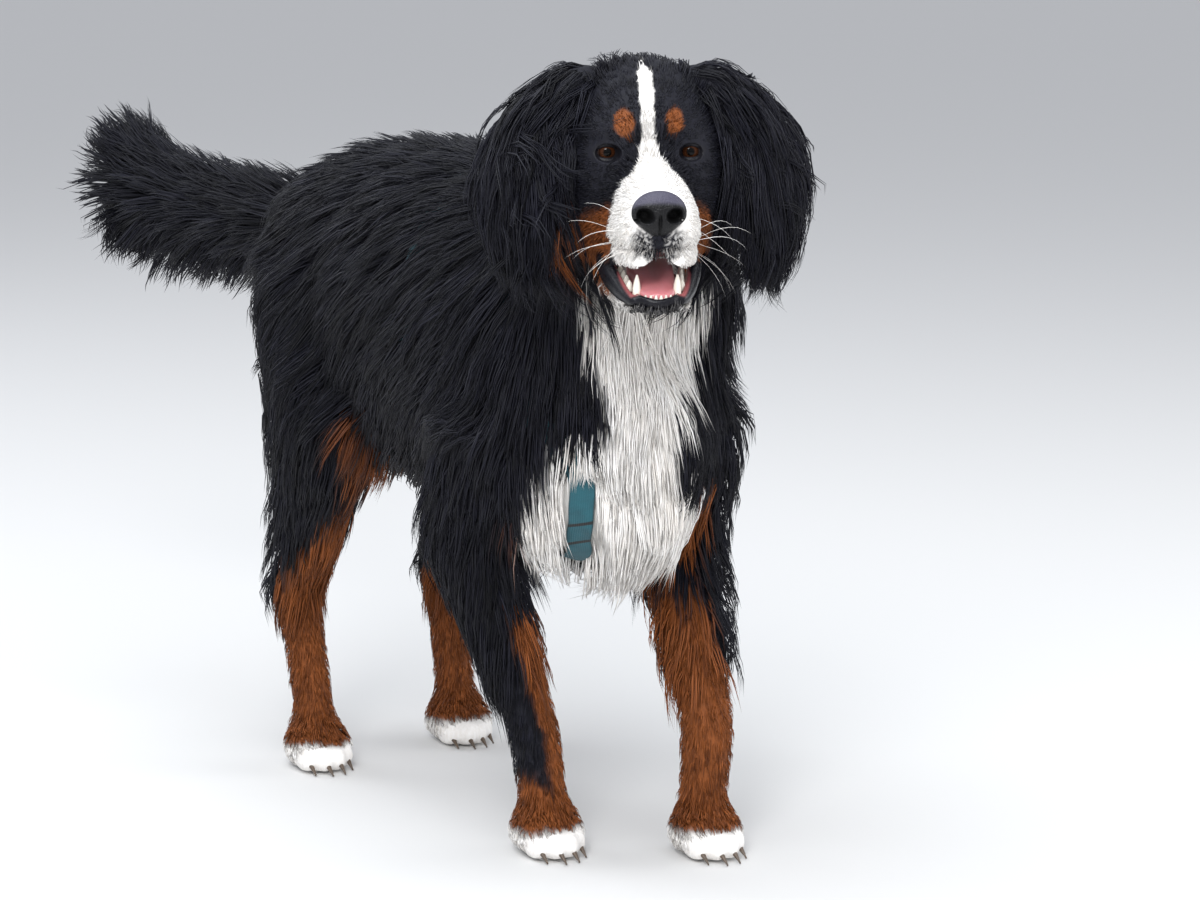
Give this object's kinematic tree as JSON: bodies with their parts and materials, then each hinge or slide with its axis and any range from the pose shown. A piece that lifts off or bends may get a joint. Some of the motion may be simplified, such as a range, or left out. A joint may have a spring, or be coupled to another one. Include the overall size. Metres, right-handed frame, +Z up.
{
  "type": "bernese mountain dog",
  "caption": "Life-size still model of a long-coated tricolour mountain dog, standing on all paws with its head turned, mouth open and bushy tail held level.",
  "frame": {"origin": "middle of the bounding box, on the floor under the paws", "axes": "+Y from the nose to the tail, +X to the dog's left, +Z up"},
  "size_m": [0.361, 1.3092, 0.8263],
  "materials": {
    "coat_black": "long soft wavy black hair with a cool sheen",
    "coat_white": "long soft white hair",
    "tongue": "moist pink tongue with a centre groove",
    "nose": "moist black pebbled nose leather",
    "eye": "wet dark brown eye",
    "webbing": "woven deep teal webbing with two thin black bands"
  },
  "bodies": {
    "root": {"head": "coat_black", "jaw": "coat_white", "tongue": "tongue", "nose": "nose", "eye_left": "eye", "eye_right": "eye", "ear_left": "coat_black", "ear_right": "coat_black", "neck": "coat_black", "torso": "coat_black", "tail": "coat_black", "foreleg_left": "coat_black", "foreleg_right": "coat_black", "hindleg_left": "coat_black", "hindleg_right": "coat_black", "forepaw_left": "coat_white", "forepaw_right": "coat_white", "hindpaw_left": "coat_white", "hindpaw_right": "coat_white", "harness_neck": "webbing", "harness_girth": "webbing"}
  },
  "joints": []
}
